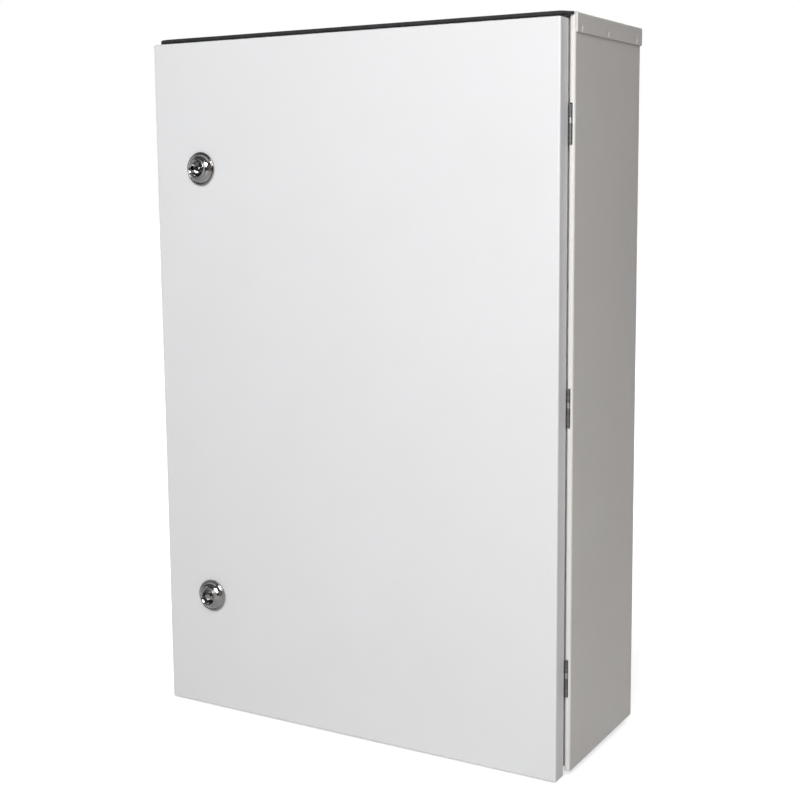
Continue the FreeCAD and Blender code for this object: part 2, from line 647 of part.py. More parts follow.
def lock_parts(name, z):
    """A quarter-turn lock with a double-bit driver. At rest its cam points up, clear of the rim."""

    def at(y):
        return V(LOCK_X, y, z)

    seal_height = 0.8
    y_seat = Y_DOOR - seal_height
    base_radius, collar_radius, socket_radius = 14.4, 8.3, 6.3
    base_edge, shoulder, front, socket_floor = 1.3, 5.8, 7.8, 0.8
    cam_y0 = Y_GUTTER_INNER + 1.0
    bore, barrel_end = 5.05, cam_y0 - 1.5

    def profile(r, d):
        return at(y_seat - d) + X_AXIS * r

    outline = [
        Part.LineSegment(profile(bore, 0), profile(base_radius, 0)),
        Part.LineSegment(profile(base_radius, 0), profile(base_radius, base_edge)),
        Part.Arc(
            profile(base_radius, base_edge),
            profile(12.2, 4.2),
            profile(collar_radius + 0.6, shoulder),
        ),
        Part.LineSegment(
            profile(collar_radius + 0.6, shoulder), profile(collar_radius, front - 0.6)
        ),
        Part.Arc(
            profile(collar_radius, front - 0.6),
            profile(collar_radius - 0.3, front - 0.12),
            profile(collar_radius - 0.9, front),
        ),
        Part.LineSegment(profile(collar_radius - 0.9, front), profile(socket_radius, front - 0.5)),
        Part.LineSegment(profile(socket_radius, front - 0.5), profile(socket_radius, socket_floor)),
        Part.LineSegment(profile(socket_radius, socket_floor), profile(bore, socket_floor)),
        Part.LineSegment(profile(bore, socket_floor), profile(bore, 0)),
    ]
    rosette = Part.Face(Part.Wire([c.toShape() for c in outline]))
    rosette = rosette.revolve(at(y_seat), Y_AXIS, 360)
    barrel = lock_barrel(z, y_seat, barrel_end).cut(rod(bore, at(y_seat - 1), at(barrel_end + 1)))
    housing = rosette.fuse(barrel).removeSplitter()

    seal = tube(base_radius - 0.5, BARREL_RADIUS + 0.05, at(y_seat), at(Y_DOOR))
    nut = hex_nut(27.0, BARREL_RADIUS + 0.05, at(Y_DOOR_INNER), at(Y_DOOR_INNER + 4.0))

    y_floor = y_seat - socket_floor
    flange_radius, flange_height, shaft_radius = 6.15, 1.3, 5.0
    cam_sheet, square = 2.5, 3.5
    driver = rod(flange_radius, at(y_floor - flange_height), at(y_floor - 0.05))
    driver = driver.fuse(rod(shaft_radius, at(y_floor - 0.1), at(cam_y0)))
    driver = driver.fuse(rod(2.2, at(y_seat - front + 1.4), at(y_floor - 1)))
    wing_reach, wing_half = 4.3, 1.1
    driver = driver.fuse(
        box(
            LOCK_X - wing_reach,
            LOCK_X + wing_reach,
            y_seat - front + 2.2,
            y_floor - 1,
            z - wing_half,
            z + wing_half,
        )
    )
    y_square = cam_y0 + cam_sheet - 0.1
    driver = driver.fuse(
        box(LOCK_X - square, LOCK_X + square, cam_y0 - 1, y_square, z - square, z + square)
    )
    thread = 2.5
    driver = driver.cut(rod(thread, at(cam_y0 - 9), at(y_square + 1))).removeSplitter()

    hub, tip = 9.0, 7.0
    y0, y1 = cam_y0, cam_y0 + cam_sheet
    cam = rod(hub, at(y0), at(y1))
    end = CAM_REACH - tip
    cam = cam.fuse(box(LOCK_X - tip, LOCK_X + tip, y0, y1, z, z + end))
    cam = cam.fuse(rod(tip, at(y0) + Z_AXIS * end, at(y1) + Z_AXIS * end))
    eye = square + 0.05
    cam = cam.cut(box(LOCK_X - eye, LOCK_X + eye, y0 - 1, y1 + 1, z - eye, z + eye))

    washer = 1.0
    screw = rod(6.0, at(y1), at(y1 + washer))
    screw = screw.fuse(hex_nut(8.0, 0, at(y1 + washer), at(y1 + washer + 3.0)))
    screw = screw.fuse(rod(thread - 0.05, at(cam_y0 - 8), at(y1 + washer)))
    return {
        f"lock_{name}_housing": housing,
        f"lock_{name}_seal": seal,
        f"lock_{name}_nut": nut,
        f"lock_{name}_driver": driver,
        f"lock_{name}_cam": cam.removeSplitter(),
        f"lock_{name}_cam_screw": screw.removeSplitter(),
    }


# ---------------------------------------------------------------- the assembly
def build():
    """Every node of the cabinet by name."""
    nodes = {
        "body_wrap": body_wrap(),
        "roof_cap": roof_cap(),
        "roof_seal": roof_seal(),
        "head_rail": head_rail(),
        "floor_pan": floor_pan(),
        "door_panel": door_panel(),
        "door_gasket": door_gasket(),
    }
    nodes.update(gland_parts())
    nodes.update(mounting_plate_parts())
    x, z, length = BODY_EARTH
    stud, nuts = earth_stud(x, z, Y_BACK_INNER, -1, length)
    nodes["body_earth_stud"], nodes["body_earth_nuts"] = stud, nuts
    x, z, length = DOOR_EARTH
    stud, nuts = earth_stud(x, z, Y_DOOR_INNER, 1, length)
    nodes["door_earth_stud"], nodes["door_earth_nuts"] = stud, nuts
    for name, z in HINGE_HEIGHTS.items():
        nodes.update(hinge_parts(name, z))
    for name, z in LOCK_HEIGHTS.items():
        nodes.update(lock_parts(name, z))
    return nodes


def main():
    os.makedirs("parts", exist_ok=True)
    for name, shape in build().items():
        shape.exportStep(f"parts/{name}.step")


main()
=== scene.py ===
"""Looks of the wall-mounted switchboard cabinet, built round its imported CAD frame.

Lengths are metres in the frame's axes: +X right, +Y into the wall, +Z up, and the door faces -Y.
"""

import json
import math
import random

import bmesh
import bpy
from mathutils import Matrix, Vector, noise


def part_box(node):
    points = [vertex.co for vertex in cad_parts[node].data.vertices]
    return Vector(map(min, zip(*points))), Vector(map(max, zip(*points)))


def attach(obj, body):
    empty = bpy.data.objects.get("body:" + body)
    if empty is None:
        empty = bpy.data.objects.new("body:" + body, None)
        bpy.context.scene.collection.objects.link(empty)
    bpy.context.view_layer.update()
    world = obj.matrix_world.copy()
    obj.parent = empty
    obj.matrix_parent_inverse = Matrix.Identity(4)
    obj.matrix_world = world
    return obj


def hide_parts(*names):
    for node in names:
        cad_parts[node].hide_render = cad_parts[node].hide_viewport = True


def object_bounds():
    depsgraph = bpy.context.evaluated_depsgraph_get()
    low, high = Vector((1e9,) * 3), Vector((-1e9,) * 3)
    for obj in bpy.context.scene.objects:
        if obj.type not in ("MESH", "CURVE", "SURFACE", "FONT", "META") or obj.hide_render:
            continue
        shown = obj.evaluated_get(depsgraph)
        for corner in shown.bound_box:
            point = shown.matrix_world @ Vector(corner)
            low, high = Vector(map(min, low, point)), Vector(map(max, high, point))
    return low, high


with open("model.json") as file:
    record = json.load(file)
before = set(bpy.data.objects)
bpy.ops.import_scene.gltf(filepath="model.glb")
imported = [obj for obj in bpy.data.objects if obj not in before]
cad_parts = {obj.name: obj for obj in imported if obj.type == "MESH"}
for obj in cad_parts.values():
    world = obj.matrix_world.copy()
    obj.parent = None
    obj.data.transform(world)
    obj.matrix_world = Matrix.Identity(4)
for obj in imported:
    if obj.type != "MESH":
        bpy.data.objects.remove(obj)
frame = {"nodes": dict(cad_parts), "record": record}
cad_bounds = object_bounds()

MM = 0.001
Y_AXIS, Z_AXIS = Vector((0, 1, 0)), Vector((0, 0, 1))
LOCKS = ("upper", "lower")
random.seed(7)


# ---------------------------------------------------------------- camera, lights and floor
CAMERA_AT = Vector((0.6126, -1.121, 0.1744))
CAMERA_YAW, CAMERA_PITCH, CAMERA_ROLL = 30.12, -7.45, -0.48  # degrees; yaw turns left, pitch up
CAMERA_LENS, CAMERA_SENSOR = 61.6, 36.0  # millimetres
CAMERA_SHIFT = -0.05

WHITE = (1.0, 1.0, 1.0)
COOL = (0.985, 0.99, 1.0)
WARM = (1.0, 0.78, 0.64)

# A soft key high in front on the right, a weak fill from the left, a weaker warm one on the side
# wall, and one from behind. Each row: name, place, aim, width, height, watts, colour.
LIGHTS = [
    ("key", (0.69, -1.76, 1.0), (0.02, -0.16, 0.08), 1.0, 1.0, 42.9, COOL),
    ("fill_left", (-2.2, -1.6, 0.3), (0.0, -0.1, 0.0), 1.2, 1.8, 4.0, WHITE),
    ("side_warm", (2.2, -0.9, 0.5), (0.2, -0.07, 0.0), 1.4, 1.4, 1.65, WARM),
    ("back", (-0.6, 2.2, 1.6), (0.0, -0.05, 0.0), 1.6, 1.2, 26.0, WHITE),
]
ROOM_STOPS = [(0.0, 0.05), (0.42, 0.065), (0.6, 0.1), (1.0, 0.18)]  # dim below, paler above

FLOOR_HALF = 12.0
FLOOR_GREY, FLOOR_VARIES = 0.66, 0.01
GLOW_NEAR, GLOW_FAR = 200.0, 600.0  # millimetres from the frame's origin
GLOW_LEAST = 0.34


def make_camera():
    """The main camera, from the CAMERA values."""
    data = bpy.data.cameras.new("camera")
    data.lens = CAMERA_LENS
    data.sensor_width = CAMERA_SENSOR
    data.shift_y = CAMERA_SHIFT
    camera = bpy.data.objects.new("camera", data)
    yaw, pitch, roll = (math.radians(a) for a in (CAMERA_YAW, CAMERA_PITCH, CAMERA_ROLL))
    turn = Matrix.Rotation(yaw, 4, "Z") @ Matrix.Rotation(math.pi / 2 + pitch, 4, "X")
    camera.matrix_world = Matrix.Translation(CAMERA_AT) @ turn @ Matrix.Rotation(roll, 4, "Z")
    bpy.context.scene.collection.objects.link(camera)
    bpy.context.scene.camera = camera


def area_light(name, at, target, width, height, power, colour):
    """A rectangular light aimed at a target, in metres and watts."""
    data = bpy.data.lights.new(name, "AREA")
    data.shape = "RECTANGLE"
    data.size, data.size_y = width, height
    data.energy = power
    data.color = colour
    light = bpy.data.objects.new(name, data)
    aim = (Vector(target) - Vector(at)).to_track_quat("-Z", "Y").to_matrix().to_4x4()
    light.matrix_world = Matrix.Translation(Vector(at)) @ aim
    bpy.context.scene.collection.objects.link(light)


def make_lights():
    """One area light for each row of LIGHTS."""
    for name, at, target, width, height, power, colour in LIGHTS:
        area_light(name, at, target, width, height, power, colour)


def make_world():
    """A dim pale room that lights the object, seen as plain white behind it."""
    world = bpy.data.worlds.new("studio")
    world.use_nodes = True
    nodes, links = world.node_tree.nodes, world.node_tree.links
    nodes.clear()
    out = nodes.new("ShaderNodeOutputWorld")
    seen = nodes.new("ShaderNodeBackground")
    seen.inputs["Color"].default_value = (*WHITE, 1)
    seen.inputs["Strength"].default_value = 1.0
    room = nodes.new("ShaderNodeBackground")
    room.inputs["Strength"].default_value = 1.0
    ray = nodes.new("ShaderNodeLightPath")
    mix = nodes.new("ShaderNodeMixShader")
    coords = nodes.new("ShaderNodeTexCoord")
    split = nodes.new("ShaderNodeSeparateXYZ")
    ramp = nodes.new("ShaderNodeValToRGB")
    links.new(coords.outputs["Generated"], split.inputs[0])
    links.new(split.outputs["Z"], ramp.inputs["Fac"])
    set_ramp(ramp, ROOM_STOPS)
    links.new(ramp.outputs["Color"], room.inputs["Color"])
    links.new(ray.outputs["Is Camera Ray"], mix.inputs["Fac"])
    links.new(room.outputs[0], mix.inputs[1])
    links.new(seen.outputs[0], mix.inputs[2])
    links.new(mix.outputs[0], out.inputs["Surface"])
    bpy.context.scene.world = world


def set_ramp(ramp, stops):
    """Sets a colour ramp's stops from (position, grey or colour) pairs."""
    elements = ramp.color_ramp.elements
    while len(elements) < len(stops):
        elements.new(0.5)
    for element, (position, value) in zip(elements, stops):
        element.position = position
        rgb = (value, value, value) if isinstance(value, (int, float)) else value
        element.color = (*rgb, 1)


def make_floor():
    """A pale floor that holds the contact shadow and glows to white away from the object."""
    z = cad_bounds[0].z
    corners = [(sx * FLOOR_HALF, sy * FLOOR_HALF, z) for sx, sy in ((-1, -1), (1, -1), (1, 1), (-1, 1))]
    mesh = bpy.data.meshes.new("floor")
    mesh.from_pydata(corners, [], [(0, 1, 2, 3)])
    floor = bpy.data.objects.new("floor", mesh)
    bpy.context.scene.collection.objects.link(floor)
    look = Look("floor_pale", (FLOOR_GREY, FLOOR_GREY, FLOOR_GREY), roughness=0.8)
    greys = [(0.3, FLOOR_GREY - FLOOR_VARIES), (0.7, FLOOR_GREY + FLOOR_VARIES)]
    look.drive("Base Color", look.ramp(look.noise(3.0, detail=3), greys))
    away = look.node("ShaderNodeVectorMath", operation="LENGTH")
    look.link(look.position, away.inputs[0])
    ray = look.node("ShaderNodeLightPath")
    glow = look.span(away.outputs["Value"], GLOW_LEAST, 1.0, GLOW_NEAR, GLOW_FAR)
    look.shader.inputs["Emission Color"].default_value = (*WHITE, 1)
    look.drive("Emission Strength", look.math("MULTIPLY", glow, ray.outputs["Is Camera Ray"]))
    floor.data.materials.append(look.material)


# ---------------------------------------------------------------- materials
class Look:
    """A Principled material whose patterns are laid in object space, in millimetres."""

    def __init__(self, name, colour, roughness=0.5, metallic=0.0, **sockets):
        self.material = bpy.data.materials.new(name)
        self.material.use_nodes = True
        self.tree = self.material.node_tree
        self.shader = self.tree.nodes["Principled BSDF"]
        self.shader.inputs["Base Color"].default_value = (*colour, 1)
        self.shader.inputs["Roughness"].default_value = roughness
        self.shader.inputs["Metallic"].default_value = metallic
        for socket, value in sockets.items():
            self.shader.inputs[socket.replace("_", " ")].default_value = value
        coords = self.node("ShaderNodeTexCoord")
        scale = self.node("ShaderNodeVectorMath", operation="SCALE")
        scale.inputs["Scale"].default_value = 1 / MM
        self.link(coords.outputs["Object"], scale.inputs[0])
        self.position = scale.outputs["Vector"]

    def node(self, kind, **settings):
        """A new node with the settings given by name."""
        made = self.tree.nodes.new(kind)
        for key, value in settings.items():
            setattr(made, key, value)
        return made

    def link(self, source, target):
        self.tree.links.new(source, target)

    def drive(self, socket, source):
        """Links source to the named input of the shader."""
        self.link(source, self.shader.inputs[socket])

    def stretched(self, x, y, z):
        """Object position scaled by axis, for patterns longer one way than another."""
        mapping = self.node("ShaderNodeMapping")
        mapping.inputs["Scale"].default_value = (x, y, z)
        self.link(self.position, mapping.inputs["Vector"])
        return mapping.outputs["Vector"]

    def noise(self, size_mm, detail=2.0, roughness=0.5, at=None):
        """Fractal noise whose largest features are about size_mm across."""
        made = self.node("ShaderNodeTexNoise")
        made.inputs["Scale"].default_value = 1 / size_mm
        made.inputs["Detail"].default_value = detail
        made.inputs["Roughness"].default_value = roughness
        self.link(at or self.position, made.inputs["Vector"])
        return made.outputs["Fac"]

    def cells(self, size_mm, output="Distance", at=None):
        """Irregular cells about size_mm across: their distance field or their random colour."""
        made = self.node("ShaderNodeTexVoronoi")
        made.inputs["Scale"].default_value = 1 / size_mm
        self.link(at or self.position, made.inputs["Vector"])
        return made.outputs[output]

    def ramp(self, source, stops):
        """source turned to colour by (position, grey or colour) stops."""
        made = self.node("ShaderNodeValToRGB")
        set_ramp(made, stops)
        self.link(source, made.inputs["Fac"])
        return made.outputs["Color"]

    def span(self, source, low, high, from_low=0.0, from_high=1.0):
        """source rescaled from one range to another, clamped."""
        made = self.node("ShaderNodeMapRange")
        values = {"From Min": from_low, "From Max": from_high, "To Min": low, "To Max": high}
        for socket, value in values.items():
            made.inputs[socket].default_value = value
        self.link(source, made.inputs["Value"])
        return made.outputs["Result"]

    def math(self, operation, a, b):
        """One arithmetic operation on a and b, which are numbers or sockets."""
        made = self.node("ShaderNodeMath", operation=operation)
        for socket, value in zip(made.inputs, (a, b)):
            if isinstance(value, (int, float)):
                socket.default_value = value
            else:
                self.link(value, socket)
        return made.outputs[0]

    def mix(self, amount, a, b):
        """a where amount is 0, b where it is 1; a and b are colours or sockets."""
        made = self.node("ShaderNodeMix", data_type="RGBA")
        self.link(amount, made.inputs["Factor"])
        for socket, value in zip(made.inputs[6:8], (a, b)):
            if isinstance(value, tuple):
                socket.default_value = (*value, 1)
            else:
                self.link(value, socket)
        return made.outputs[2]

    def bump(self, height, depth_mm, under=None):
        """A normal for a height pattern depth_mm deep, laid over the normal under."""
        made = self.node("ShaderNodeBump")
        made.inputs["Strength"].default_value = 1.0
        made.inputs["Distance"].default_value = depth_mm * MM
        self.link(height, made.inputs["Height"])
        if under is not None:
            self.link(under, made.inputs["Normal"])
        return made.outputs["Normal"]

    def soft_edges(self, radius_mm):
        """A normal that rounds sharp edges, as plating, paint and tumbling do."""
        made = self.node("ShaderNodeBevel", samples=4)
        made.inputs["Radius"].default_value = radius_mm * MM
        return made.outputs["Normal"]


def tint(colour, factor):
    """A colour made lighter or darker by a factor, with no channel over 1."""
    return tuple(min(1.0, c * factor) for c in colour)


# In these recipes pattern sizes and bump depths are in mm, ramp positions and ranges run from
# 0 to 1, and tints are factors.
def powder_coat(name, colour, cloudiness):
    """Light powder coat: orange peel, fine grain, faint cloudiness and a few pale scuffs."""
    look = Look(name, colour, Specular_IOR_Level=0.45)
    cloud = look.noise(110.0, detail=3, roughness=0.55)
    low, high = tint(colour, 1 - cloudiness), tint(colour, 1 + cloudiness)
    base = look.ramp(cloud, [(0.3, low), (0.7, high)])
    warm = (colour[0], colour[1] * 0.975, colour[2] * 0.95)
    toned = look.mix(look.span(look.noise(45.0, detail=2), 0.0, 0.5, 0.45, 0.75), base, warm)
    speck = look.span(look.noise(0.7, detail=1), 0.0, 0.22, 0.64, 0.8)
    grain = look.mix(speck, toned, tint(colour, 0.86))
    scuff_place = look.span(look.noise(70.0, detail=1), 0.0, 1.0, 0.66, 0.74)
    scuff_shape = look.span(look.noise(2.0, detail=5, roughness=0.7), 0.0, 0.35, 0.62, 0.68)
    scuffs = look.math("MULTIPLY", scuff_place, scuff_shape)
    look.drive("Base Color", look.mix(scuffs, grain, tint(colour, 1.12)))
    look.drive("Roughness", look.span(look.noise(9.0, detail=3), 0.4, 0.5))
    peel = look.bump(look.noise(2.4, detail=1), 0.035, under=look.soft_edges(0.35))
    look.drive("Normal", look.bump(look.noise(0.5, detail=2), 0.01, under=peel))
    return look.material


def rubber(name, colour, bloom):
    """Extruded rubber: matt, with a faint grey bloom and draw marks along its length."""
    look = Look(name, colour, Specular_IOR_Level=0.35)
    dust = look.noise(7.0, detail=4, roughness=0.65)
    look.drive("Base Color", look.ramp(dust, [(0.35, colour), (0.8, tint(colour, bloom))]))
    look.drive("Roughness", look.span(look.noise(3.0), 0.5, 0.72))
    marks = look.noise(1.0, detail=2, at=look.stretched(1 / 40, 1 / 0.5, 1 / 0.5))
    first = look.bump(marks, 0.03, under=look.soft_edges(0.25))
    look.drive("Normal", look.bump(look.noise(0.35), 0.01, under=first))
    return look.material


def foam(name, colour):
    """Foamed-in-place sealing bead: a soft skin over small closed cells, with painted shade in the cell
    pits and a painted highlight on their rims.
    """
    look = Look(name, colour, Specular_IOR_Level=0.25)
    pores = look.cells(0.7)
    # painted shade and highlight: each cell's pit is coloured darker and its rim lighter
    shade = look.ramp(pores, [(0.0, tint(colour, 0.55)), (0.45, colour), (1.0, tint(colour, 1.35))])
    look.drive("Base Color", shade)
    look.drive("Roughness", look.span(look.noise(5.0), 0.72, 0.9))
    ripple = look.bump(look.noise(6.0, detail=2), 0.22)
    look.drive("Normal", look.bump(pores, 0.09, under=ripple))
    return look.material


def galvanised(name, colour):
    """Hot-dip galvanised sheet: angular spangles that differ in tone and gloss."""
    look = Look(name, colour, metallic=0.9)
    warp = look.noise(5.0, detail=2)
    shift = look.node("ShaderNodeVectorMath", operation="MULTIPLY_ADD")
    shift.inputs[1].default_value = (3.0, 3.0, 3.0)
    look.link(warp, shift.inputs[0])
    look.link(look.position, shift.inputs[2])
    spangle = look.cells(9.0, output="Color", at=shift.outputs["Vector"])
    tone = look.node("ShaderNodeSeparateColor")
    look.link(spangle, tone.inputs[0])
    frost = look.noise(0.9, detail=3)
    body = look.ramp(tone.outputs[0], [(0.0, tint(colour, 0.8)), (1.0, tint(colour, 1.12))])
    look.drive("Base Color", look.mix(look.span(frost, 0.0, 0.3, 0.5, 0.8), body, tint(colour, 0.7)))
    look.drive("Roughness", look.span(tone.outputs[1], 0.3, 0.52))
    look.drive("Normal", look.bump(look.noise(1.6, detail=3), 0.01, under=look.soft_edges(0.3)))
    return look.material


def plated(name, colour, gloss, stain):
    """Plated steel: fine lines from turning or rolling, and a slight patchy stain."""
    look = Look(name, colour, metallic=1.0)
    patch = look.noise(6.0, detail=4, roughness=0.6)
    look.drive("Base Color", look.ramp(patch, [(0.35, colour), (0.75, stain)]))
    lines = look.noise(1.0, detail=2, at=look.stretched(1 / 6, 1 / 6, 1 / 0.25))
    look.drive("Roughness", look.span(lines, gloss, gloss + 0.16))
    look.drive("Normal", look.bump(lines, 0.004, under=look.soft_edges(0.2)))
    return look.material


def phosphated(name, colour):
    """Dark phosphated steel with an oily sheen, rubbed brighter in random patches."""
    look = Look(name, colour, metallic=0.6)
    patch = look.noise(2.2, detail=4, roughness=0.65)
    look.drive("Base Color", look.ramp(patch, [(0.35, colour), (0.8, tint(colour, 2.2))]))
    look.drive("Roughness", look.span(look.noise(1.2, detail=3), 0.36, 0.56))
    look.drive("Normal", look.bump(look.noise(0.3, detail=2), 0.008, under=look.soft_edges(0.2)))
    return look.material


def chrome(name, colour):
    """Bright plating over a polished casting, with a soft ripple and hairline marks."""
    look = Look(name, colour, metallic=1.0)
    haze = look.noise(4.0, detail=4, roughness=0.7)
    look.drive("Base Color", look.ramp(haze, [(0.4, colour), (0.8, tint(colour, 0.82))]))
    look.drive("Roughness", look.span(haze, 0.05, 0.15, 0.3, 0.8))
    ripple = look.bump(look.noise(3.5, detail=1), 0.02, under=look.soft_edges(0.15))
    hair = look.noise(1.0, detail=2, at=look.stretched(1 / 0.2, 1 / 3.0, 1 / 0.2))
    look.drive("Normal", look.bump(hair, 0.0015, under=ripple))
    return look.material


def make_materials():
    """One material for every slot of the record."""
    return {
        # painted shade: the body's coat is a darker, warmer copy of the door's paint, for how its side
        # wall looks in shade
        "body_paint": powder_coat("body_powder_coat_painted_shade", (0.65, 0.63, 0.607), 0.02),
        "door_paint": powder_coat("door_powder_coat", (0.69, 0.69, 0.694), 0.006),
        "black_rubber": rubber("epdm_rubber", (0.018, 0.018, 0.02), 2.2),
        "gasket_foam": foam("polyurethane_foam", (0.075, 0.075, 0.08)),
        "galvanised_steel": galvanised("galvanised_sheet", (0.6, 0.62, 0.64)),
        "zinc_plated_steel": plated("bright_zinc", (0.66, 0.68, 0.71), 0.24, (0.6, 0.6, 0.58)),
        "copper_plated_steel": plated("copper_flash", (0.75, 0.42, 0.28), 0.28, (0.5, 0.27, 0.18)),
        "hinge_steel": phosphated("phosphated_steel", (0.1, 0.1, 0.1)),
        "pin_steel": plated("pin_steel", (0.45, 0.45, 0.46), 0.34, (0.36, 0.35, 0.34)),
        # painted shade: the lock's chrome gets a much darker colour than plating has, standing in for
        # the dim room it reflects
        "lock_chrome": chrome("lock_chrome", (0.4, 0.395, 0.39)),
    }


# ---------------------------------------------------------------- mesh helpers
def circle(radius, height, segments):
    """Points of a circle about local Z, from a radius and height in mm."""
    angles = [2 * math.pi * k / segments for k in range(segments)]
    return [Vector((radius * math.cos(a), radius * math.sin(a), height)) * MM for a in angles]


def section_at(angle, section):
    """Points of a (radius, height) section in mm, turned to an angle about local Z."""
    return [Vector((r * math.cos(angle), r * math.sin(angle), h)) * MM for r, h in section]


def ring_mesh(name, rings, joined=False):
    """A mesh through closed rings of points. joined links the last ring to the first, and
    otherwise both ends are capped."""
    count = len(rings[0])
    points = [p for ring in rings for p in ring]
    faces = []
    steps = len(rings) if joined else len(rings) - 1
    for i in range(steps):
        a, b = i * count, (i + 1) % len(rings) * count
        faces += [(a + j, a + (j + 1) % count, b + (j + 1) % count, b + j) for j in range(count)]
    if not joined:
        faces.append(tuple(reversed(range(count))))
        faces.append(tuple(range((len(rings) - 1) * count, len(rings) * count)))
    mesh = bpy.data.meshes.new(name)
    mesh.from_pydata([tuple(p) for p in points], [], faces)
    mesh.validate()
    return mesh


# Faces that meet at a larger angle than this, in degrees, keep a sharp edge in the shading.
SHARP_FROM = 35.0
ROD_SHARP_FROM, BARREL_SHARP_FROM, ROSETTE_SHARP_FROM = 25.0, 20.0, 50.0


def finish_piece(name, meshes, place, body, slot, replaces=(), sharp_from=SHARP_FROM):
    """Joins meshes into one piece, moves it by place, gives it its slot's material and hangs it under
    its body, hiding the CAD nodes it replaces.
    """
    points, faces = [], []
    for mesh in meshes:
        start = len(points)
        points += [place @ v.co for v in mesh.vertices]
        faces += [tuple(start + i for i in p.vertices) for p in mesh.polygons]
        bpy.data.meshes.remove(mesh)
    mesh = bpy.data.meshes.new(name)
    mesh.from_pydata([tuple(p) for p in points], [], faces)
    tidy_normals(mesh)
    mesh.shade_smooth()
    mesh.set_sharp_from_angle(angle=math.radians(sharp_from))
    piece = bpy.data.objects.new(name, mesh)
    bpy.context.scene.collection.objects.link(piece)
    piece.data.materials.append(MATERIALS[slot])
    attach(piece, body)
    if replaces:
        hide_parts(*replaces)


def tidy_normals(mesh):
    """Turns every face outward."""
    work = bmesh.new()
    work.from_mesh(mesh)
    bmesh.ops.recalc_face_normals(work, faces=work.faces)
    work.to_mesh(mesh)
    work.free()


def rounded(points, steps=5):
    """A polyline whose corners are arcs. Each point is (u, v) or (u, v, radius)."""
    line = []
    for i, point in enumerate(points):
        at = Vector(point[:2])
        radius = point[2] if len(point) > 2 else 0.0
        if radius == 0.0 or i in (0, len(points) - 1):
            line.append(at)
            continue
        before = (Vector(points[i - 1][:2]) - at).normalized()
        after = (Vector(points[i + 1][:2]) - at).normalized()
        half = before.angle(after) / 2
        reach = radius / math.tan(half)
        centre = at + (before + after).normalized() * (radius / math.sin(half))
        start, end = at + before * reach - centre, at + after * reach - centre
        for k in range(steps + 1):
            line.append(centre + start.slerp(end, k / steps, start).normalized() * radius)
    return line


TURNED_SEGMENTS = 96


def turned(name, profile, segments=TURNED_SEGMENTS):
    """A solid turned about local Z. profile runs from end to end as (radius, height) in mm."""
    return ring_mesh(name, [circle(r, h, segments) for r, h in profile])


def turned_ring(name, profile, segments=TURNED_SEGMENTS):
    """A ring turned about local Z from a closed profile of (radius, height) in mm."""
    rings = [section_at(2 * math.pi * k / segments, profile) for k in range(segments)]
    return ring_mesh(name, rings, joined=True)


WASHER_EDGE_SHARE, WASHER_EDGE_MOST = 0.35, 0.4  # edge radius: share of the height, and limit
WASHER_SEGMENTS = 64


def washer(name, outer, inner, height):
    """A flat washer from radii in mm, with its outer edges rounded."""
    edge = min(height * WASHER_EDGE_SHARE, WASHER_EDGE_MOST)
    box = [(inner, 0), (outer, 0, edge), (outer, height, edge), (inner, height), (inner, 0)]
    return turned_ring(name, rounded(box, steps=3)[:-1], WASHER_SEGMENTS)


NUT_CROWN, NUT_SINK = 0.96, 0.12  # shares of the half width across flats and of the bore
NUT_CHAMFER = math.radians(28)
HEXAGON_REPEAT = 60.0  # degrees after which a hexagon looks the same


def hex_nut(name, across, bore, height):
    """A hexagon nut with both faces chamfered and a countersunk bore."""
    crown = across / 2 * NUT_CROWN
    sink = bore * NUT_SINK
    slope = math.tan(NUT_CHAMFER)
    flat = math.radians(HEXAGON_REPEAT)
    rings = []
    for k in range(TURNED_SEGMENTS):
        a = 2 * math.pi * k / TURNED_SEGMENTS
        # the angle from the middle of the nearest flat
        off = (a + flat / 2) % flat - flat / 2
        side = across / 2 / math.cos(off)
        drop = (side - crown) * slope
        section = [
            (bore, sink),
            (bore + sink, 0),
            (crown, 0),
            (side, drop),
            (side, height - drop),
            (crown, height),
            (bore + sink, height),
            (bore, height - sink),
        ]
        rings.append(section_at(a, section))
    return ring_mesh(name, rings, joined=True)


THREAD_SEGMENTS, THREAD_ROWS_PER_PITCH, THREAD_LEAST_ROWS = 48, 6, 4
THREAD_DEPTH, THREAD_LEAD_IN = 0.5, 0.8  # shares of the pitch


def thread(name, radius, pitch, length, flats=None, bore=None):
    """A threaded rod along local Z, all in mm. flats is the half width along local X over two flats,
    and bore is the radius of a hole through it."""
    depth, lead_in = pitch * THREAD_DEPTH, pitch * THREAD_LEAD_IN
    rows = max(THREAD_LEAST_ROWS, int(length / pitch * THREAD_ROWS_PER_PITCH))
    rings = []
    for i in range(rows + 1):
        h = length * i / rows
        ring = []
        for k in range(THREAD_SEGMENTS):
            turn = k / THREAD_SEGMENTS
            wave = abs(((h / pitch - turn) % 1.0) * 2 - 1)
            r = radius - depth * wave
            r = min(r, radius - depth + max(0.0, (length - h)) / lead_in * depth)
            a = 2 * math.pi * turn
            x = r * math.cos(a)
            if flats is not None:
                x = max(-flats, min(flats, x))
            ring.append(Vector((x, r * math.sin(a), h)) * MM)
        rings.append(ring)
    if bore is None:
        return ring_mesh(name, rings)
    rings += [circle(bore, h, THREAD_SEGMENTS) for h in (length, 0.0)]
    return ring_mesh(name, rings, joined=True)


def lift(mesh, height):
    """Moves a mesh along local Z, by mm."""
    for vertex in mesh.vertices:
        vertex.co.z += height * MM


def facing(direction, at, spin=0.0):
    """Places local Z along direction, from the point at."""
    turn = Vector(direction).to_track_quat("Z", "Y").to_matrix().to_4x4()
    return Matrix.Translation(at) @ turn @ Matrix.Rotation(spin, 4, "Z")


def level(direction, at):
    """Places local Z along a level direction, with local X upright."""
    turn = Matrix((Z_AXIS, direction.cross(Z_AXIS), direction)).transposed().to_4x4()
    return Matrix.Translation(at) @ turn


def middle(node):
    """The centre of a CAD node's box."""
    low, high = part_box(node)
    return (low + high) / 2


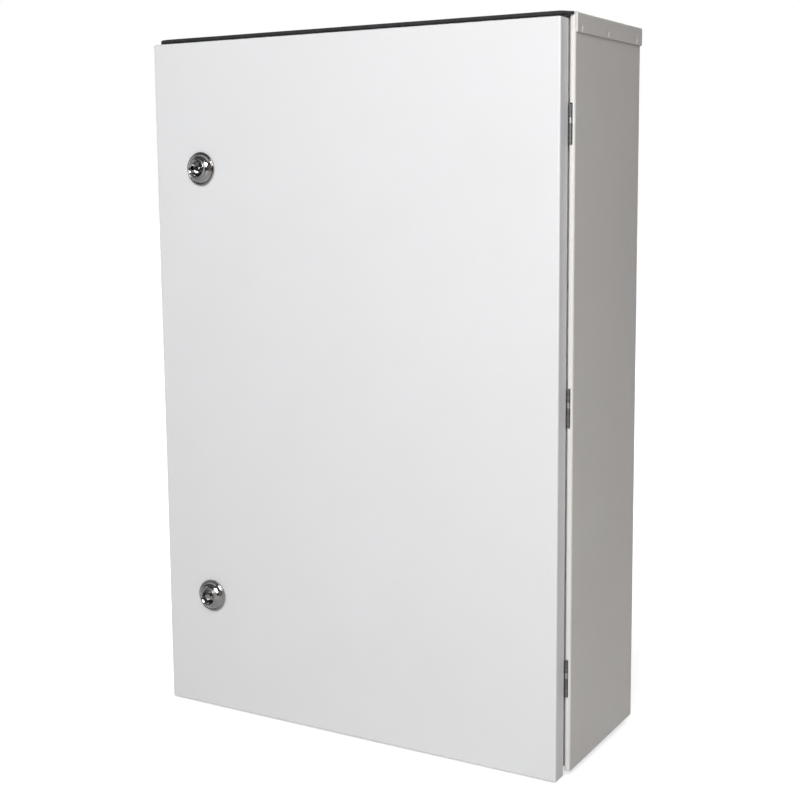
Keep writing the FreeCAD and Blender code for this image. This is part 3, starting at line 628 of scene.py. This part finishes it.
# ---------------------------------------------------------------- locks
LOCK_COLLAR, LOCK_SOCKET, LOCK_BORE = 8.3, 6.3, 5.06  # radii
LOCK_SOCKET_FLOOR = 0.8
ROSETTE_SEGMENTS, ROSETTE_CORNER_STEPS = 128, 6
BARREL_RADIUS, BARREL_FLATS, BARREL_PITCH = 10.95, 9.95, 1.5
RING_NUT_BORE = BARREL_RADIUS + 0.1

CAM_SCREW_HEX, CAM_SCREW_CENTRE_HOLE = 8.0, 0.4
CAM_SCREW_FLANGE, CAM_SCREW_FLANGE_RADIUS = 1.0, 5.95
CAM_SCREW_FLANGE_EDGE, CAM_SCREW_FLANGE_TOP_RADIUS = 0.45, 4.6
CAM_SCREW_FLANGE_HOLE, CAM_SCREW_FLANGE_CORNER = 0.3, 0.2
CAM_SCREW_SHANK_RADIUS, CAM_SCREW_SHANK, CAM_SCREW_SHANK_OVERLAP = 2.4, 8.0, 0.1
CAM_SCREW_SHANK_SEGMENTS, CAM_SCREW_SKIRT_SEGMENTS = 32, 64


def lock_rosette(name):
    """The turned, polished front of one lock, and its threaded barrel behind the door."""
    node = f"lock_{name}_housing"
    low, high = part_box(node)
    seal_low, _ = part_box(f"lock_{name}_seal")
    seat = seal_low.y
    reach = (seat - low.y) / MM
    edge = (high.x - low.x) / 2 / MM
    # radius, height above the door, corner radius
    profile = [
        (LOCK_BORE, 0.0),
        (edge, 0.0, 0.15),
        (edge, 1.5, 0.55),
        (edge - 1.1, 1.6, 0.3),
        (edge - 1.45, 1.25, 0.25),
        (edge - 1.9, 1.7, 0.4),
        (11.4, 3.9, 3.0),
        (9.6, 5.5, 1.6),
        (LOCK_COLLAR + 0.25, 5.75, 0.35),
        (LOCK_COLLAR, reach - 0.2, 0.55),
        (LOCK_COLLAR - 1.0, reach - 0.05, 0.25),
        (LOCK_SOCKET, reach - 1.0, 0.35),
        (LOCK_SOCKET, LOCK_SOCKET_FLOOR, 0.2),
        (LOCK_BORE, LOCK_SOCKET_FLOOR),
        (LOCK_BORE, 0.0),
    ]
    centre = Vector((middle(node).x, seat, middle(node).z))
    closed = rounded(profile, ROSETTE_CORNER_STEPS)[:-1]
    front = turned_ring("front", closed, ROSETTE_SEGMENTS)
    finish_piece(
        f"lock_{name}_rosette",
        [front],
        facing(-Y_AXIS, centre),
        "door",
        "lock_chrome",
        replaces=[node],
        sharp_from=ROSETTE_SHARP_FROM,
    )
    length = (high.y - seat) / MM
    barrel = thread(
        "barrel", BARREL_RADIUS, BARREL_PITCH, length, flats=BARREL_FLATS, bore=LOCK_BORE
    )
    place = level(Y_AXIS, centre)
    finish_piece(
        f"lock_{name}_barrel",
        [barrel],
        place,
        "door",
        "lock_chrome",
        sharp_from=BARREL_SHARP_FROM,
    )


def lock_nut(name):
    """The ring nut that clamps one lock to the door."""
    node = f"lock_{name}_nut"
    low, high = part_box(node)
    across = (high.z - low.z) / MM
    height = (high.y - low.y) / MM
    nut = hex_nut("nut", across, RING_NUT_BORE, height)
    place = level(Y_AXIS, Vector((middle(node).x, low.y, middle(node).z)))
    finish_piece(f"lock_{name}_ring_nut", [nut], place, "door", "zinc_plated_steel", [node])


def cam_screw(name):
    """Flanged hexagon screw that holds one cam on its driver."""
    node = f"lock_{name}_cam_screw"
    _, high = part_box(node)
    _, cam_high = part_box(f"lock_{name}_cam")
    height = (high.y - cam_high.y) / MM
    flange, radius = CAM_SCREW_FLANGE, CAM_SCREW_FLANGE_RADIUS
    head = hex_nut("head", CAM_SCREW_HEX, CAM_SCREW_CENTRE_HOLE, height - flange)
    lift(head, flange)
    skirt_profile = [
        (CAM_SCREW_FLANGE_HOLE, 0.0),
        (radius, 0.0, CAM_SCREW_FLANGE_CORNER),
        (radius, CAM_SCREW_FLANGE_EDGE, CAM_SCREW_FLANGE_CORNER),
        (CAM_SCREW_FLANGE_TOP_RADIUS, flange),
        (CAM_SCREW_FLANGE_HOLE, flange),
    ]
    skirt = turned("skirt", rounded(skirt_profile, steps=3), CAM_SCREW_SKIRT_SEGMENTS)
    shank_ends = (-CAM_SCREW_SHANK, CAM_SCREW_SHANK_OVERLAP)
    shank_profile = [(CAM_SCREW_SHANK_RADIUS, h) for h in shank_ends]
    shank = turned("shank", shank_profile, CAM_SCREW_SHANK_SEGMENTS)
    place = facing(Y_AXIS, Vector((middle(node).x, cam_high.y, middle(node).z)))
    finish_piece(
        f"lock_{name}_flange_screw",
        [head, skirt, shank],
        place,
        f"lock_{name}",
        "zinc_plated_steel",
        [node],
    )


# ---------------------------------------------------------------- seals
STRIP_TAPER, STRIP_THINNING = 7.0, 10.0  # how far from each end the lip draws in and thins
STRIP_THIN_END = 0.55
STRIP_END_REACH = 0.12  # share of the reach that is left at the very end
STRIP_SLICES = 120
STRIP_WAVE, STRIP_WAVES_PER_MM = 0.12, 0.02

BEAD_WIDTH, BEAD_CORNER = 10.0, 8.0
BEAD_STEP, BEAD_AROUND, BEAD_CORNER_STEPS = 4.0, 22, 10
BEAD_INSET = 0.35  # how far each side stays inside BEAD_WIDTH
BEAD_SWELL, BEAD_LEAN = 0.06, 0.25  # unevenness of the pour, as a share and in mm
BEAD_WAVES_PER_MM = 0.03
BEAD_LEAN_WAVES = 2.3  # how many waves the lean has for each wave of the swell
BEAD_DOME = 0.62  # power of the sine that shapes the dome
# The line that the body's lip leaves: its depth, its spread and its place across the bead.
BEAD_PRESSED, BEAD_LINE, BEAD_LINE_AT = 0.75, 1.1, 0.2
QUARTER_TURN = 90  # degrees


def roof_front_black_strip():
    """A black strip along the roof's front edge, with a rounded nose and ends that taper off."""
    low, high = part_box("roof_seal")
    reach = (high.y - low.y) / MM
    tall = (high.z - low.z) / MM
    half = (high.x - low.x) / 2 / MM
    # reach out from the roof, height, corner radius
    section = [
        (0.0, 0.4, 0.2),
        (reach * 0.55, 0.0, 0.5),
        (reach, 0.9, 0.8),
        (reach, tall - 0.9, 1.1),
        (reach * 0.5, tall - 0.25, 0.8),
        (0.0, tall, 0.3),
    ]
    closed = rounded([(0.0, tall / 2)] + section + [(0.0, tall / 2)], steps=4)[:-1]
    rings = []
    for i in range(STRIP_SLICES + 1):
        x = -half + 2 * half * i / STRIP_SLICES
        from_end = half - abs(x)
        room = min(1.0, from_end / STRIP_TAPER + STRIP_END_REACH)
        thin = min(1.0, STRIP_THIN_END + (1 - STRIP_THIN_END) * from_end / STRIP_THINNING)
        wave = noise.noise(Vector((x * STRIP_WAVES_PER_MM, 0.0, 0.0))) * STRIP_WAVE
        ring = []
        for u, v in closed:
            y = high.y / MM - min(reach, u * room)
            centred = (v - tall / 2) * thin + tall / 2
            z = low.z / MM + centred + wave * (u / reach) * (0 if v in (0.0, tall) else 1)
            z = min(high.z / MM, max(low.z / MM, z))
            ring.append(Vector((x, y, z)) * MM)
        rings.append(ring)
    strip = ring_mesh("strip", rings)
    finish_piece(
        "roof_front_black_strip", [strip], Matrix.Identity(4), "body", "black_rubber", ["roof_seal"]
    )


def rectangle_path(half_x, low_z, high_z, radius, step):
    """Points and outward directions along a rounded rectangle in the XZ plane, in mm."""
    # each corner's centre, and the angle in degrees where its arc starts
    corners = [
        (half_x - radius, high_z - radius, 0),
        (-half_x + radius, high_z - radius, 90),
        (-half_x + radius, low_z + radius, 180),
        (half_x - radius, low_z + radius, 270),
    ]
    path = []
    for i, (cx, cz, start) in enumerate(corners):
        for k in range(BEAD_CORNER_STEPS + 1):
            a = math.radians(start + QUARTER_TURN * k / BEAD_CORNER_STEPS)
            out = Vector((math.cos(a), math.sin(a)))
            path.append((Vector((cx, cz)) + out * radius, out))
        nx, nz, _ = corners[(i + 1) % 4]
        a = math.radians(start + QUARTER_TURN)
        out = Vector((math.cos(a), math.sin(a)))
        here, there = path[-1][0], Vector((nx, nz)) + out * radius
        pieces = int((there - here).length / step)
        path += [(here.lerp(there, k / pieces), out) for k in range(1, pieces)]
    return path


def door_foam_bead():
    """Poured foam bead: a low dome with the line that the body's lip has pressed into it."""
    low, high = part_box("door_gasket")
    tall = (high.y - low.y) / MM
    half_width = BEAD_WIDTH / 2
    half_x = (high.x - low.x) / 2 / MM - half_width
    low_z, high_z = low.z / MM + half_width, high.z / MM - half_width
    rings = []
    for at, out in rectangle_path(half_x, low_z, high_z, BEAD_CORNER, BEAD_STEP):
        seed = Vector((at.x * BEAD_WAVES_PER_MM, at.y * BEAD_WAVES_PER_MM, 0.5))
        swell = 1.0 - BEAD_SWELL * (0.5 + noise.noise(seed))
        lean = BEAD_LEAN * noise.noise(seed * BEAD_LEAN_WAVES)
        ring = []
        for k in range(BEAD_AROUND):
            a = math.pi * k / (BEAD_AROUND - 1)
            across = math.cos(a)
            rise = math.sin(a) ** BEAD_DOME
            off_line = across * half_width - BEAD_LINE_AT
            dent = BEAD_PRESSED * math.exp(-(off_line**2) / BEAD_LINE)
            w = across * (half_width - BEAD_INSET) * swell + lean * rise
            h = max(0.0, tall * rise * swell - dent)
            spot = at + out * w
            ring.append(Vector((spot.x * MM, low.y + h * MM, spot.y * MM)))
        rings.append(ring)
    bead = ring_mesh("bead", rings, joined=True)
    finish_piece(
        "door_foam_bead", [bead], Matrix.Identity(4), "door", "gasket_foam", ["door_gasket"]
    )


# ---------------------------------------------------------------- fasteners inside
THREAD_PLAY, NUT_PLAY, WASHER_PLAY = 0.02, 0.05, 0.2  # by radius
M8_RADIUS, M8_PITCH, M8_HEX, M8_WASHER_RADIUS = 4.0, 1.25, 13.0, 8.0
M6_RADIUS, M6_PITCH, M6_HEX, M6_WASHER_RADIUS = 3.0, 1.0, 10.0, 6.0
M6_WASHER_HEIGHT, M6_NUT_HEIGHT = 1.2, 4.0
EARTH_STACK = M6_WASHER_HEIGHT + M6_NUT_HEIGHT


def random_spin():
    """A seeded turn for a hexagon."""
    return math.radians(random.uniform(0, HEXAGON_REPEAT))


def plate_fasteners():
    """Threaded studs, washers and nuts that carry the mounting plate."""
    stud_low, stud_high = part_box("plate_studs")
    washer_low, washer_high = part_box("plate_washers")
    nut_low, nut_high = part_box("plate_nuts")
    half_x = stud_high.x - M8_RADIUS * MM
    half_z = stud_high.z - M8_RADIUS * MM
    length = (stud_high.y - stud_low.y) / MM
    corners = [(sx * half_x, sz * half_z) for sx in (-1, 1) for sz in (-1, 1)]
    for number, (x, z) in enumerate(corners, 1):
        own = number == 1
        rod = thread("rod", M8_RADIUS - THREAD_PLAY, M8_PITCH, length)
        finish_piece(
            f"plate_stud_{number}",
            [rod],
            facing(-Y_AXIS, Vector((x, stud_high.y, z))),
            "body",
            "zinc_plated_steel",
            ["plate_studs"] if own else (),
            sharp_from=ROD_SHARP_FROM,
        )
        height = (washer_high.y - washer_low.y) / MM
        finish_piece(
            f"plate_washer_{number}",
            [washer("washer", M8_WASHER_RADIUS, M8_RADIUS + WASHER_PLAY, height)],
            facing(-Y_AXIS, Vector((x, washer_high.y, z))),
            "body",
            "zinc_plated_steel",
            ["plate_washers"] if own else (),
        )
        height = (nut_high.y - nut_low.y) / MM
        finish_piece(
            f"plate_nut_{number}",
            [hex_nut("nut", M8_HEX, M8_RADIUS + NUT_PLAY, height)],
            facing(-Y_AXIS, Vector((x, nut_high.y, z)), random_spin()),
            "body",
            "zinc_plated_steel",
            ["plate_nuts"] if own else (),
        )


def earth_stud(body):
    """Copper-plated M6 earth stud with its two washers and nuts, on the body or the door."""
    low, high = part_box(f"{body}_earth_stud")
    away = -Y_AXIS if body == "body" else Y_AXIS
    base = high.y if body == "body" else low.y
    centre = middle(f"{body}_earth_stud")
    root = Vector((centre.x, base, centre.z))
    length = (high.y - low.y) / MM
    finish_piece(
        f"{body}_earth_thread",
        [thread("rod", M6_RADIUS - THREAD_PLAY, M6_PITCH, length)],
        facing(away, root),
        body,
        "copper_plated_steel",
        [f"{body}_earth_stud"],
        sharp_from=ROD_SHARP_FROM,
    )
    stack = []
    for start in (0.0, EARTH_STACK):
        disc = washer("disc", M6_WASHER_RADIUS, M6_RADIUS + WASHER_PLAY, M6_WASHER_HEIGHT)
        lift(disc, start)
        nut = hex_nut("nut", M6_HEX, M6_RADIUS + NUT_PLAY, M6_NUT_HEIGHT)
        lift(nut, start + M6_WASHER_HEIGHT)
        stack += [disc, nut]
    finish_piece(
        f"{body}_earth_nut_stack",
        stack,
        facing(away, root, random_spin()),
        body,
        "zinc_plated_steel",
        [f"{body}_earth_nuts"],
    )


# ---------------------------------------------------------------- the whole object
MATERIALS = make_materials()


def dress_cad_nodes():
    """Gives every CAD node that stays in view the material of its slot."""
    slots = {s["node"]: s["material_slot"] for s in frame["record"]["subparts"]}
    for name, node in frame["nodes"].items():
        node.data.materials.clear()
        node.data.materials.append(MATERIALS[slots[name]])


def build():
    """Makes every visual piece."""
    dress_cad_nodes()
    for name in LOCKS:
        lock_rosette(name)
        lock_nut(name)
        cam_screw(name)
    roof_front_black_strip()
    door_foam_bead()
    plate_fasteners()
    earth_stud("body")
    earth_stud("door")


make_camera()
make_lights()
make_world()
make_floor()
build()
bpy.context.scene.view_settings.view_transform = "Standard"
